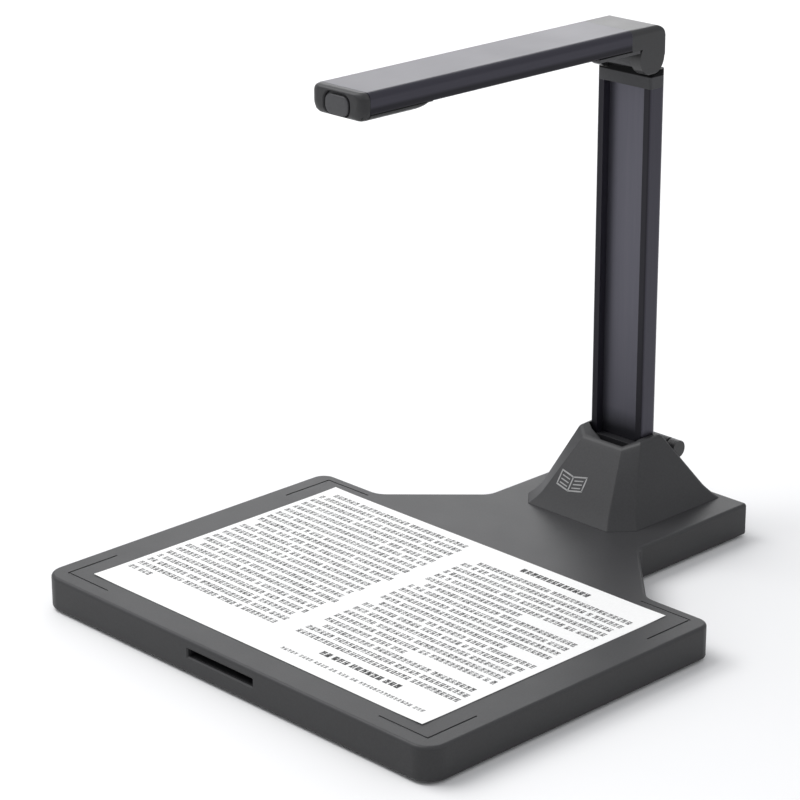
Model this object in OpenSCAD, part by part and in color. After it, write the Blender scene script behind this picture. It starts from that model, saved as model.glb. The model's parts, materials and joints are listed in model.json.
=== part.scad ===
// Book scanner: a flat base with a card slot, a boot with a folding column, and a
// folding arm that carries the camera head. X is right, Y is back, Z is up, in millimetres.
// The origin is the centre of the base's bounding box, on the surface that it stands on.

/* [Base] */
// Width of the base
base_w = 350; // [345:1:360]
// Depth of the base, front edge to rear edge
base_d = 410; // [408:1:420]
// Depth of the front platform that takes the page
platform_d = 245; // [243:1:246]
// Thickness of the base shell
base_t = 22; // [22:0.5:24]
// Gap between the shell and the table
base_lift = 2; // [1.6:0.1:2.4]
// Radius of the platform's front corners in plan
base_corner_r = 14; // [10:1:20]
// Radius of the platform's back corners in plan
back_corner_r = 8; // [6:1:12]
// Half width of the rear block that carries the boot
block_half = 67.5; // [65:0.5:68]
// Reach of the 45 degree gussets beside the rear block
gusset = 53.5; // [45:0.5:55]
// Wall of the base shell
base_wall = 2.5; // [2:0.1:2.6]
// Thickness of the base shell's top
roof_t = 3; // [2.5:0.1:3.2]

/* [Card slot] */
// Place of the slot's middle across the front
slot_x = -3; // [-10:1:5]
// Width of the slot
slot_w = 59; // [57:0.5:60]
// Height of the slot
slot_h = 5.2; // [4.8:0.1:5.6]
// Depth of the card pocket
slot_depth = 58; // [50:1:60]

/* [Page] */
// Width of the page, A4 lying on its long side
page_w = 297; // [280:1:300]
// Depth of the page
page_d = 210; // [200:1:212]
// Place of the page's middle, which is also under the lens
page_y = -79; // [-82:1:-77]

/* [Column] */
// Width of the aluminium extrusions of column and arm
bar_w = 45.2; // [44.8:0.1:45.4]
// Depth of the arm's extrusion
bar_d = 13.5; // [13.4:0.1:13.6]
// Depth of the column's extrusion
column_d = 15; // [14.9:0.1:15.1]
// Front face of the column
column_y = 145; // [144.8:0.1:145.2]
// Upper end of the column's extrusion
column_top = 312; // [311:0.5:313]

/* [Hinges] */
// Radius of the fold pins at the foot of the column
pin_r = 1.95; // [1.9:0.01:1.97]
// Radius of the knuckles round the fold pins
knuckle_r = 6; // [5.6:0.1:6]
// Radius of the arm's hinge shaft
shaft_r = 2.5; // [2.45:0.01:2.52]
// Radius of the elbow's ears round that shaft
ear_r = 11.5; // [11.3:0.1:11.6]

/* [Arm] */
// Front end of the arm's extrusion
arm_front = -101; // [-102:0.5:-100]
// Back end of the arm's extrusion, where the elbow starts
arm_back = 126.5; // [126:0.5:127]
// Overall height of the scanner
total_h = 353; // [352.8:0.1:353.2]
// Depth of the end cap
cap_t = 6; // [5.8:0.1:6.4]
// Radius of the lens barrel
barrel_r = 7.5; // [7.2:0.1:7.6]

/* [Button] */
// Width of the scan button
button_w = 20; // [18:0.5:21]
// Travel of the scan button
button_travel = 0.8; // [0.5:0.1:0.8]

/* [Hidden] */

$fn = 48;
// Overlap of joined shapes, and overshoot of cuts
lap = 1;
// Running clearance of a pin or shaft in its bore, on the radius
run_fit = 0.05;
// Loose clearance between neighbours
gap = 0.25;

// Base levels and edges
front_y = -base_d / 2;
rear_y = base_d / 2;
platform_back = front_y + platform_d;
base_top = base_lift + base_t;
roof_z = base_top - roof_t;
plate_z = base_lift + 0.2;
plate_t = 1.2;
plate_top = plate_z + plate_t;
blend_r = 14;
block_r = 3;

// Screws: three millimetre, in blind holes of the plastic bosses
screw_r = 1.45;
screw_hole_r = 1.5;
screw_free_r = 1.7;
head_r = 2.8;
head_t = 1.3;
boss_r = 3.5;
boss_hole = 10;
base_screw_at = [[158, -188], [158, 24], [56, 190], [80, -80]];
foot_at = [[145, -175], [145, 10], [48, 175]];
foot_r = 8;

// Corner marks on the platform: width, depth, arm length and inset from the edges
mark_w = 1.2;
mark_cut = 0.4;
mark_arm = 40;
mark_side = 12;
mark_edge = 11;

// Card reader behind the slot
slot_z = 15.1;
reader_wall = 3.5;
reader_front = front_y + base_wall + gap;
reader_back = front_y + slot_depth + reader_wall;
reader_z = 7;
board_t = 1.6;
contact_pitch = 2.54;
contact_row = 8;

// Main board in the rear block, hung from four posts
main_z = 8;
main_half = 45;
main_front = 120;
main_back = 196;
post_at = [[40, 126], [40, 190]];
post_r = 3;
usb_w = 8.9;
usb_h = 3.2;
usb_wall = 0.35;
tongue_w = 6.6;
tongue_t = 0.7;
usb_front = 196;
usb_back = rear_y - 0.5;
usb_z = main_z + board_t + usb_h / 2;

// Boot: foot outline at the base, rims above
boot_half = 45;
boot_front = 99.6;
boot_back = 198;
boot_cut_x = 12;
boot_cut_y = 14.4;
rim_half = 17.5;
rim_front = 132.5;
rim_z = 72;
cheek_half = 28;
cheek_front = 139;
cheek_back = 160;
cheek_z = 75;
boot_wall = 3;
slot_half = 23.4;
well_front_half = 15.8;
well_front = 134.5;
well_side = 138.9;
boot_floor = 50;
frame_t = 2.5;
frame_x = slot_half + 0.2;
floor_front = 128;
floor_back = 174;
floor_t = 3;
flange_half = 37;
flange_front = 112;
flange_back = 186;
flange_t = 2;
boss_h = 14;
boot_screw_at = [[31, 118], [31, 182]];

// Fold hinge at the foot of the column
fold_y = column_y + 30;
fold_z = 61;
knuckle_end = 30.5;
lug_half = 22;
pin_start = 12;
pin_end = 29.4;
// Side view of the frame's cheek: it stays inside the boot's back slope, up to the knuckle
frame_cheek = [[140, base_top + 1], [184, base_top + 1], [171, boot_floor], [176, fold_z - 3],
    [173, fold_z + 1], [169, fold_z - 4.5], [165, fold_z - 4], [158, 66], [140, 66]];

// Extrusion of column and arm: walls, lips and the strip behind the lips
bar_wall = 1.8;
bar_back_r = 4;
bar_front_r = 1.5;
lip = 5.4;
rib_t = 1.4;
recess = 6;
strip_t = 1.2;
strip_w = 40.4;
strip_y = recess + 0.05;
plug_front = strip_y + strip_t + 0.05;
column_z = 68;
column_back = column_y + column_d;
plug_h = 24;
foot_screw_z = column_z + 14;
head_screw_z = column_top - 10;
screw_deep = bar_wall + 4;
screw_x = 13;
elbow_screw_y = arm_back - 12;
cable_x = -8;
cable_r = 1.4;
cable_hole_r = 1.8;
cable_y = column_y + 10.2;

// Arm and its hinge
arm_z = total_h - bar_d;
pivot_y = column_y + 1;
pivot_z = total_h - 20;
ear_x = 14.4;
tongue_half = 13.8;
tongue_r = 9.5;
hollow_r = 10.3;
seat_r = 12.3;
head_top = 324;
ear_bore_end = 21.6;
elbow_back = 158;
elbow_r = 8;
plug_l = 20;
cover_front = 96;
cover_z = pivot_z + 4.5;
cover_back = 134.1;
head_sink = 1.8;
plug_top = 10.6;
arm_cable_z = arm_z + 9.45;
cable_top = head_top - 2;

// Camera head
head_z = 335.2;
head_bottom_r = 5;
head_back = -58;
ramp_back = -50;
cap_front = arm_front - cap_t;
cap_corner_r = 6.5;
cap_wall = 2;
lens_y = page_y;
lens_hole_r = barrel_r + 0.8;
camera_board_z = 349;
sensor_t = 1.2;
barrel_wall = 2;
glass_in = 1.5;
glass_t = 2;
led_board_z = 340.4;
led_pitch = 6;
window_l = 24;
window_w = 5;
window_off = 15;
window_t = 1.2;
mouth_half = bar_w / 2 - lip;

// Scan button
button_z0 = 337;
button_z1 = 349.5;
button_r = 4;
button_face = cap_front - 0.2;
flange_y = cap_front + cap_wall + 0.1;
flange_d = 0.8;
switch_face = flange_y + flange_d + button_travel + 0.3;

// ---------------------------------------------------------------- helpers

module box(x0, x1, y0, y1, z0, z1) {
    translate([x0, y0, z0]) cube([x1 - x0, y1 - y0, z1 - z0]);
}

module rod_x(x0, x1, y, z, r) {
    translate([x0, y, z]) rotate([0, 90, 0]) cylinder(h = x1 - x0, r = r);
}

module rod_y(y0, y1, x, z, r) {
    translate([x, y0, z]) rotate([-90, 0, 0]) cylinder(h = y1 - y0, r = r);
}

module rod_z(z0, z1, x, y, r) {
    translate([x, y, z0]) cylinder(h = z1 - z0, r = r);
}

// Children drawn as a side view in Y and Z, spread along X
module along_x(x0, x1) {
    translate([x0, 0, 0]) rotate([90, 0, 90]) linear_extrude(x1 - x0) children();
}

// Children drawn as a front view in X and Z, spread along Y
module along_y(y0, y1) {
    translate([0, y1, 0]) rotate([90, 0, 0]) linear_extrude(y1 - y0) children();
}

module both_sides() {
    children();
    mirror([1, 0, 0]) children();
}

module at_each(points) {
    for (p = points, s = [-1, 1]) translate([s * p.x, p.y, 0]) children();
}

// Rectangle with true round corners
module round_rect(x0, x1, y0, y1, r) {
    translate([x0 + r, y0]) square([x1 - x0 - 2 * r, y1 - y0]);
    translate([x0, y0 + r]) square([x1 - x0, y1 - y0 - 2 * r]);
    for (x = [x0 + r, x1 - r], y = [y0 + r, y1 - r]) translate([x, y]) circle(r);
}

// Outline of the extrusion: front edge at 0, back at d, with its own radius at each end
module bar_outline(w, d, front_r, back_r) {
    translate([-w / 2, front_r]) square([w, d - front_r - back_r]);
    translate([front_r - w / 2, 0]) square([w - 2 * front_r, front_r + 0.1]);
    translate([back_r - w / 2, d - back_r - 0.1]) square([w - 2 * back_r, back_r + 0.1]);
    for (s = [-1, 1]) {
        translate([s * (w / 2 - front_r), front_r]) circle(front_r);
        translate([s * (w / 2 - back_r), d - back_r]) circle(back_r);
    }
}

// Lipped channel of depth d: closed back, walls, and a deep mouth between two ribs
module channel_profile(d) {
    difference() {
        bar_outline(bar_w, d, bar_front_r, bar_back_r);
        difference() {
            translate([0, bar_wall])
                bar_outline(bar_w - 2 * bar_wall, d - 2 * bar_wall, 0.6, bar_back_r - bar_wall);
            for (x = [-mouth_half - rib_t, mouth_half]) translate([x, 0]) square([rib_t, recess]);
        }
        translate([-mouth_half, -lap]) square([2 * mouth_half, recess + lap]);
    }
}

// Plug that fills that channel behind the strip
module plug_profile(d) {
    translate([0, plug_front])
        bar_outline(bar_w - 2 * bar_wall - 0.2, d - bar_wall - plug_front - 0.1, 0.6,
            bar_back_r - bar_wall);
}

// ---------------------------------------------------------------- base

// Plan of the base, drawn in by i all round
module base_outline(i) {
    half = base_w / 2 - i;
    round_rect(-half, half, front_y + i, platform_back - i, base_corner_r - i);
    round_rect(-half, half, platform_back - 3 * base_corner_r, platform_back - i, back_corner_r - i);
    round_rect(i - block_half, block_half - i, platform_back - 2 * base_corner_r, rear_y - i,
        block_r - i);
    // 45 degree gussets, with a round blend into the platform
    cut = i * (sqrt(2) - 1);
    far = block_half + gusset - i - cut;
    low = platform_back - i;
    r = blend_r + i;
    tangent = r * tan(22.5);
    both_sides() {
        difference() {
            polygon([[0, low - lap], [far + tangent, low - lap], [far + tangent, low],
                [far - tangent / sqrt(2), low + tangent / sqrt(2)],
                [block_half - i, low + far - block_half + i], [0, low + far - block_half + i]]);
            translate([far + tangent, low + r]) circle(r);
        }
    }
}

module corner_marks() {
    x = base_w / 2 - mark_side;
    y0 = front_y + mark_edge;
    y1 = platform_back - mark_edge;
    both_sides() {
        box(x - mark_arm, x, y0, y0 + mark_w, base_top - mark_cut, base_top + lap);
        box(x - mark_w, x, y0, y0 + mark_arm, base_top - mark_cut, base_top + lap);
        box(x - mark_arm, x, y1 - mark_w, y1, base_top - mark_cut, base_top + lap);
        box(x - mark_w, x, y1 - mark_arm, y1, base_top - mark_cut, base_top + lap);
    }
}

module base_shell() {
    color("#5c5c5e") difference() {
        union() {
            difference() {
                translate([0, 0, base_lift]) linear_extrude(base_t) base_outline(0);
                translate([0, 0, base_lift - lap])
                    linear_extrude(roof_z - base_lift + lap) base_outline(base_wall);
            }
            at_each(base_screw_at) rod_z(plate_top, roof_z + lap, 0, 0, boss_r);
            at_each(post_at) rod_z(main_z + board_t, roof_z + lap, 0, 0, post_r);
        }
        at_each(base_screw_at) rod_z(plate_top - lap, plate_top + boss_hole, 0, 0, screw_hole_r);
        at_each(post_at) rod_z(main_z, main_z + boss_hole, 0, 0, screw_hole_r);
        at_each(boot_screw_at) rod_z(roof_z - lap, base_top + lap, 0, 0, screw_free_r);
        rod_z(roof_z - lap, base_top + lap, cable_x, cable_y, cable_hole_r);
        corner_marks();
        box(slot_x - slot_w / 2, slot_x + slot_w / 2, front_y - lap, front_y + base_wall + lap,
            slot_z - slot_h / 2, slot_z + slot_h / 2);
        along_y(rear_y - base_wall - lap, rear_y + lap)
            round_rect(-usb_w / 2 - gap, usb_w / 2 + gap, usb_z - usb_h / 2 - gap,
                usb_z + usb_h / 2 + gap, usb_h / 2);
    }
}

module base_plate() {
    color("#3a3a3c") difference() {
        translate([0, 0, plate_z]) linear_extrude(plate_t) base_outline(base_wall + gap);
        at_each(base_screw_at) rod_z(plate_z - lap, plate_top + lap, 0, 0, screw_free_r);
    }
}

module base_screws() {
    color("#8d8f94") at_each(base_screw_at) {
        rod_z(plate_z - head_t, plate_z, 0, 0, head_r);
        rod_z(plate_z - 0.1, plate_top + boss_hole - lap, 0, 0, screw_r);
    }
}

module rubber_feet() {
    color("#1d1d1f") at_each(foot_at) rod_z(0, plate_z, 0, 0, foot_r);
}

module card_reader() {
    outer = slot_w / 2 + reader_wall;
    color("#2b2b2d") difference() {
        box(slot_x - outer, slot_x + outer, reader_front, reader_back, reader_z, roof_z);
        box(slot_x - slot_w / 2, slot_x + slot_w / 2, reader_front - lap, front_y + slot_depth,
            slot_z - slot_h / 2, slot_z + slot_h / 2);
    }
}

// Two rows of four sprung contacts on the pocket's ceiling
module card_contacts() {
    ceiling = slot_z + slot_h / 2;
    first = front_y + slot_depth - 20;
    size = [1.2, 5, 0.5];
    color("#c9a24b") for (row = [0, 1], i = [0:3])
        translate([slot_x + (i - 1.5) * contact_pitch, first + row * contact_row, ceiling])
            translate([-size.x / 2, 0, -size.z]) cube(size);
}

module card_reader_board() {
    color("#1f5a34")
        box(slot_x - slot_w / 2, slot_x + slot_w / 2, reader_front + 3, reader_back - 2,
            reader_z - board_t, reader_z);
}

module main_board() {
    color("#1f5a34") difference() {
        box(-main_half, main_half, main_front, main_back, main_z, main_z + board_t);
        at_each(post_at) rod_z(main_z - lap, main_z + board_t + lap, 0, 0, screw_free_r);
    }
}

// Controller, memory, two regulators and the cable socket
module main_board_chips() {
    z = main_z + board_t;
    color("#232325") {
        box(-20, -6, 166, 180, z, z + 1.4);
        box(6, 20, 164, 174, z, z + 1.1);
        box(12, 18, 182, 188, z, z + 1.6);
        box(-26, -20, 140, 146, z, z + 1.6);
        box(12, 24, 140, 147, z, z + 4.5);
    }
}

module board_screws() {
    color("#8d8f94") at_each(post_at) {
        rod_z(main_z - head_t, main_z, 0, 0, head_r);
        rod_z(main_z - 0.1, main_z + boss_hole - lap, 0, 0, screw_r);
    }
}

// Socket for the data cord: a round-ended shell with a tongue inside
module usb_port() {
    half = usb_w / 2;
    low = usb_z - usb_h / 2;
    high = usb_z + usb_h / 2;
    color("#a9abb0") {
        difference() {
            along_y(usb_front, usb_back) round_rect(-half, half, low, high, usb_h / 2 - 0.01);
            along_y(usb_front + 2, usb_back + lap)
                round_rect(usb_wall - half, half - usb_wall, low + usb_wall, high - usb_wall,
                    usb_h / 2 - usb_wall - 0.01);
        }
        box(-tongue_w / 2, tongue_w / 2, usb_front + lap, usb_back - 1.2,
            usb_z - tongue_t / 2, usb_z + tongue_t / 2);
    }
}

module base_cable() {
    color("#202022") rod_z(main_z + board_t, boot_floor - 0.1, cable_x, cable_y, cable_r);
}

// ---------------------------------------------------------------- boot

function boot_foot(i) = [
    [i - boot_half, boot_back - i], [i - boot_half, boot_front + boot_cut_y + i / 2],
    [boot_cut_x - boot_half + i / 2, boot_front + i],
    [boot_half - boot_cut_x - i / 2, boot_front + i],
    [boot_half - i, boot_front + boot_cut_y + i / 2], [boot_half - i, boot_back - i]];

function boot_cheeks(i) = [
    [i - cheek_half, cheek_back - i], [i - cheek_half, cheek_front + i / 2],
    [cheek_half - i, cheek_front + i / 2], [cheek_half - i, cheek_back - i]];

// Tapering body of the boot, drawn in by i on every side but the bottom
module boot_block(i, low) {
    hull() {
        translate([0, 0, low]) linear_extrude(0.02) polygon(boot_foot(i));
        translate([0, 0, rim_z - i])
            linear_extrude(0.02)
                translate([i / 2 - rim_half, rim_front + i]) square([2 * rim_half - i, 6]);
        translate([0, 0, cheek_z - i - 0.02]) linear_extrude(0.02) polygon(boot_cheeks(i));
    }
}

module boot_shell() {
    color("#505053") difference() {
        union() {
            difference() {
                boot_block(0, base_top);
                boot_block(boot_wall, base_top - lap);
            }
            // Bosses for the boot's screws, closed off by the sloping walls
            at_each(boot_screw_at) rod_z(base_top + flange_t, base_top + boss_h, 0, 0, boss_r);
        }
        at_each(boot_screw_at) rod_z(base_top, base_top + boss_h - 3, 0, 0, screw_hole_r);
        // Well that the column stands in, open to the back
        translate([0, 0, boot_floor]) linear_extrude(cheek_z) polygon([
            [-well_front_half, well_front], [well_front_half, well_front], [slot_half, well_side],
            [slot_half, rear_y], [-slot_half, rear_y], [-slot_half, well_side]]);
        // Clearance round the hinge knuckles
        box(-knuckle_end - 0.6, knuckle_end + 0.6, fold_y - knuckle_r - 0.6, rear_y,
            fold_z - knuckle_r - 4, cheek_z);
    }
}

// Metal frame: flange on the base, floor under the column, two cheeks with knuckles
module boot_frame() {
    color("#3c3d40") difference() {
        union() {
            box(-flange_half, flange_half, flange_front, flange_back, base_top, base_top + flange_t);
            box(-frame_x - frame_t, frame_x + frame_t, floor_front, floor_back,
                boot_floor - floor_t, boot_floor);
            both_sides() {
                along_x(frame_x, frame_x + frame_t) polygon(frame_cheek);
                rod_x(slot_half, knuckle_end, fold_y, fold_z, knuckle_r);
            }
        }
        rod_x(-pin_end - 0.1, pin_end + 0.1, fold_y, fold_z, pin_r + run_fit);
        at_each(boot_screw_at) rod_z(base_top - lap, base_top + flange_t + lap, 0, 0, screw_free_r);
        rod_z(base_top - lap, boot_floor + lap, cable_x, cable_y, cable_hole_r);
    }
}

module boot_screws() {
    color("#8d8f94") at_each(boot_screw_at) {
        rod_z(roof_z - head_t, roof_z, 0, 0, head_r);
        rod_z(roof_z - 0.1, base_top + boss_h - 4, 0, 0, screw_r);
    }
}

module fold_pins() {
    color("#b4b6ba") both_sides() rod_x(pin_start, pin_end, fold_y, fold_z, pin_r);
}

// ---------------------------------------------------------------- column

module column_foot() {
    color("#202022") difference() {
        union() {
            translate([0, column_y, boot_floor + 0.05])
                linear_extrude(column_z - boot_floor - 0.05)
                    bar_outline(bar_w, column_d, bar_front_r, bar_back_r);
            translate([0, column_y, column_z - lap]) linear_extrude(plug_h) plug_profile(column_d);
            box(-lug_half, lug_half, column_back - lap, fold_y, fold_z - 5, fold_z + 5);
            rod_x(-lug_half, lug_half, fold_y, fold_z, knuckle_r);
        }
        rod_x(-lug_half - lap, lug_half + lap, fold_y, fold_z, pin_r + run_fit);
        rod_z(boot_floor, column_z + plug_h, cable_x, cable_y, cable_hole_r);
        for (s = [-1, 1])
            rod_y(column_back - screw_deep, column_back, s * screw_x, foot_screw_z, screw_hole_r);
    }
}

module column_channel() {
    color("#5a5a63") difference() {
        translate([0, column_y, column_z])
            linear_extrude(column_top - column_z) channel_profile(column_d);
        for (s = [-1, 1], z = [foot_screw_z, head_screw_z])
            rod_y(column_back - bar_wall - lap, column_back + lap, s * screw_x, z, screw_free_r);
    }
}

module column_strip() {
    color("#6a6a73")
        box(-strip_w / 2, strip_w / 2, column_y + strip_y, column_y + strip_y + strip_t,
            column_z + 0.1, column_top - 0.1);
}

module column_head() {
    color("#4a4a4d") difference() {
        union() {
            translate([0, column_y, column_top - plug_l + lap])
                linear_extrude(plug_l) plug_profile(column_d);
            difference() {
                translate([0, column_y, column_top])
                    linear_extrude(head_top - column_top)
                        bar_outline(bar_w, column_d, bar_front_r, bar_back_r);
                rod_x(-bar_w, bar_w, pivot_y, pivot_z, seat_r);
            }
            // Tongue between the elbow's ears
            along_x(-tongue_half, tongue_half) {
                translate([pivot_y, pivot_z]) circle(tongue_r);
                translate([column_y, column_top + 2])
                    square([pivot_y - column_y + tongue_r, pivot_z - column_top - 2]);
            }
        }
        rod_x(-bar_w, bar_w, pivot_y, pivot_z, shaft_r + run_fit);
        rod_z(column_top - plug_l, cable_top + lap, cable_x, cable_y, cable_hole_r);
        for (s = [-1, 1])
            rod_y(column_back - screw_deep, column_back, s * screw_x, head_screw_z, screw_hole_r);
    }
}

module column_screws() {
    color("#8d8f94") for (s = [-1, 1], z = [foot_screw_z, head_screw_z]) {
        rod_y(column_back, column_back + head_t, s * screw_x, z, head_r);
        rod_y(column_back - screw_deep + lap, column_back + 0.1, s * screw_x, z, screw_r);
    }
}

module column_cable() {
    color("#202022") rod_z(boot_floor + 1, cable_top, cable_x, cable_y, cable_r);
}

// ---------------------------------------------------------------- arm

module elbow() {
    color("#4a4a4d") difference() {
        union() {
            intersection() {
                // Side view: block behind the extrusion, round at the back, ears round the shaft
                along_x(-bar_w / 2, bar_w / 2) {
                    translate([arm_back, arm_z])
                        square([elbow_back - elbow_r - arm_back, bar_d]);
                    translate([pivot_y, pivot_z]) square([elbow_back - pivot_y, bar_d - 1]);
                    translate([elbow_back - elbow_r, total_h - elbow_r]) circle(elbow_r);
                    translate([pivot_y - 8, pivot_z]) square([8, 8]);
                    translate([pivot_y, pivot_z]) circle(ear_r);
                }
                // Front view: the extrusion's round shoulders, carried down over the ears
                along_y(arm_back, elbow_back + lap)
                    translate([0, pivot_z - ear_r])
                        bar_outline(bar_w, total_h - pivot_z + ear_r, bar_front_r, bar_back_r);
            }
            along_y(arm_back - plug_l, arm_back + lap) translate([0, arm_z]) plug_profile(bar_d);
        }
        // Hollow that the column's tongue turns in
        rod_x(-ear_x, ear_x, pivot_y, pivot_z, hollow_r);
        box(-ear_x, ear_x, arm_back - lap, elbow_back + lap, pivot_z - ear_r - lap, pivot_z - 2);
        box(-ear_x, ear_x, pivot_y - ear_r - lap, pivot_y, pivot_z - ear_r, cover_z);
        rod_x(-ear_bore_end, ear_bore_end, pivot_y, pivot_z, shaft_r + run_fit);
        rod_y(arm_back - plug_l - lap, arm_back + 6, cable_x, arm_cable_z, cable_hole_r);
        for (s = [-1, 1]) rod_z(arm_z, arm_z + plug_top, s * screw_x, elbow_screw_y, screw_hole_r);
    }
}

module elbow_cover() {
    color("#77777b") difference() {
        union() {
            box(-bar_w / 2, bar_w / 2, cover_front, cover_back, cover_z, arm_z - 0.05);
            box(0.2 - mouth_half, mouth_half - 0.2, cover_front, arm_back, arm_z - 0.1,
                arm_z + plug_front);
        }
        for (s = [-1, 1]) {
            rod_z(cover_z - lap, cover_z + head_sink, s * screw_x, elbow_screw_y, head_r + 0.2);
            rod_z(cover_z, arm_z + plug_front + lap, s * screw_x, elbow_screw_y, screw_free_r);
        }
    }
}

module elbow_screws() {
    color("#8d8f94") for (s = [-1, 1]) {
        rod_z(cover_z + head_sink - head_t, cover_z + head_sink, s * screw_x, elbow_screw_y, head_r);
        rod_z(cover_z + head_sink - 0.1, arm_z + plug_top - lap, s * screw_x, elbow_screw_y, screw_r);
    }
}

module hinge_shaft() {
    color("#b4b6ba") rod_x(-ear_bore_end + 0.1, ear_bore_end - 0.1, pivot_y, pivot_z, shaft_r);
}

// One washer on each side of the tongue holds the arm where it is put
module friction_washers() {
    color("#9c9ea3") both_sides() difference() {
        rod_x(tongue_half + 0.03, ear_x - 0.03, pivot_y, pivot_z, 8.5);
        rod_x(tongue_half - lap, ear_x + lap, pivot_y, pivot_z, shaft_r + run_fit);
    }
}

module arm_channel() {
    color("#5a5a63") along_y(arm_front, arm_back) translate([0, arm_z]) channel_profile(bar_d);
}

module arm_strip() {
    color("#6a6a73")
        box(-strip_w / 2, strip_w / 2, ramp_back + 4, cover_front - 0.2, arm_z + strip_y,
            arm_z + strip_y + strip_t);
}

module arm_cable() {
    color("#202022") rod_y(ramp_back - 4, arm_back + 4, cable_x, arm_cable_z, cable_r);
}

// ---------------------------------------------------------------- camera head

module window_slot(y, margin) {
    half = window_l / 2 + margin;
    deep = window_w / 2 + margin;
    translate([0, y]) round_rect(-half, half, -deep, deep, deep - 0.01);
}

// Shallow pod under the front of the arm, with a ramp up to the extrusion at its back
module head_cover() {
    inside = mouth_half - 2;
    color("#4a4a4d") difference() {
        union() {
            intersection() {
                along_x(-bar_w / 2, bar_w / 2)
                    polygon([[arm_front + 0.05, head_z], [head_back, head_z], [ramp_back, arm_z - 0.4],
                        [ramp_back, arm_z - 0.05], [arm_front + 0.05, arm_z - 0.05]]);
                along_y(arm_front, ramp_back) translate([0, head_z])
                    bar_outline(bar_w, bar_d, head_bottom_r, bar_back_r);
            }
            box(0.2 - mouth_half, mouth_half - 0.2, arm_front + 0.05, ramp_back + 3, arm_z - 0.4,
                arm_z + 2);
        }
        box(-inside, inside, arm_front + 2, head_back - 1, head_z + 1.6, arm_z + 3);
        rod_z(head_z - lap, arm_z, 0, lens_y, lens_hole_r);
        translate([0, 0, head_z - lap]) linear_extrude(4) {
            window_slot(lens_y - window_off, 0.1);
            window_slot(lens_y + window_off, 0.1);
        }
    }
}

module cap_outline(z0, z1) {
    intersection() {
        translate([0, 0, z0]) linear_extrude(z1 - z0)
            round_rect(-bar_w / 2, bar_w / 2, cap_front, arm_front + 2 * cap_corner_r, cap_corner_r);
        along_y(cap_front - lap, arm_front)
            translate([0, z0]) bar_outline(bar_w, z1 - z0, head_bottom_r, bar_back_r);
    }
}

module end_cap() {
    color("#4a4a4d") difference() {
        union() {
            difference() {
                cap_outline(head_z, total_h);
                box(2.5 - bar_w / 2, bar_w / 2 - 2.5, cap_front + cap_wall, arm_front + lap,
                    head_z + 1.2, total_h - 1.8);
            }
            // Clips that hold the cap inside the extrusion
            both_sides() box(17, 20.4, arm_front - 2, arm_front + 6, arm_z + recess + 1, total_h - 4);
            both_sides() box(17, 21, arm_front - 3, arm_front - 0.5, arm_z + 1, total_h - 1.9);
        }
        along_y(cap_front - lap, cap_front + cap_wall + lap)
            round_rect(-button_w / 2 - gap, button_w / 2 + gap, button_z0 - gap, button_z1 + gap,
                button_r + gap);
    }
}

// Square block round the lens's axis
module lens_block(half_x, half_y, z0, z1) {
    box(-half_x, half_x, lens_y - half_y, lens_y + half_y, z0, z1);
}

module camera_board() {
    color("#1f5a34") lens_block(16, 18, camera_board_z, camera_board_z + 1.4);
}

module image_sensor() {
    color("#2c3440") lens_block(5, 4, camera_board_z - sensor_t, camera_board_z);
}

module lens_holder() {
    inside = camera_board_z - 2.5;
    color("#232325") difference() {
        lens_block(9.5, 9.5, camera_board_z - 6.5, camera_board_z);
        rod_z(head_z, inside + lap, 0, lens_y, barrel_r + run_fit);
        lens_block(7, 7, inside, camera_board_z + lap);
    }
}

module lens_barrel() {
    rear = camera_board_z - 2.7;
    color("#1a1a1c") difference() {
        rod_z(head_z + 0.3, rear, 0, lens_y, barrel_r);
        rod_z(head_z - lap, head_z + glass_in, 0, lens_y, barrel_r - 1);
        rod_z(head_z, rear + lap, 0, lens_y, barrel_r - barrel_wall);
    }
}

// Front and rear elements
module lens_glass() {
    color("#33405a") for (z = [head_z + glass_in, camera_board_z - 7])
        rod_z(z, z + glass_t, 0, lens_y, barrel_r - barrel_wall - 0.02);
}

module led_board() {
    color("#e6e6e2") difference() {
        lens_block(13.5, 18.5, led_board_z, led_board_z + 1);
        rod_z(led_board_z - lap, led_board_z + 2 * lap, 0, lens_y, lens_hole_r);
    }
}

module led_lamps() {
    size = 2.8;
    color("#f2e9a8") for (i = [-1.5:1.5], s = [-1, 1])
        translate([i * led_pitch - size / 2, lens_y + s * window_off - size / 2, led_board_z - 1])
            cube([size, size, 1]);
}

module led_windows() {
    color("#dfe3e6") for (s = [-1, 1])
        translate([0, 0, head_z + 0.1]) linear_extrude(window_t) window_slot(lens_y + s * window_off, 0);
}

// Small board with the switch that the button presses
module button_switch() {
    color("#2b2b2d") {
        box(-8, 8, arm_front + 0.4, arm_front + 1.4, arm_z + 2.5, arm_z + 9.5);
        box(-3, 3, switch_face, arm_front + 0.5, arm_z + 3, arm_z + 9);
    }
}

module scan_button() {
    half = button_w / 2;
    color("#4f4f52") {
        along_y(button_face, flange_y + 0.1) round_rect(-half, half, button_z0, button_z1, button_r);
        // Rim behind the cap's wall, which keeps the button in
        along_y(flange_y, flange_y + flange_d)
            round_rect(-half - 1.2, half + 1.2, button_z0 - 0.4, button_z1 + 1, button_r);
    }
}

// ---------------------------------------------------------------- page

module page_sheet() {
    color("#f7f7f5")
        box(-page_w / 2, page_w / 2, page_y - page_d / 2, page_y + page_d / 2,
            base_top + 0.02, base_top + 0.32);
}

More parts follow.
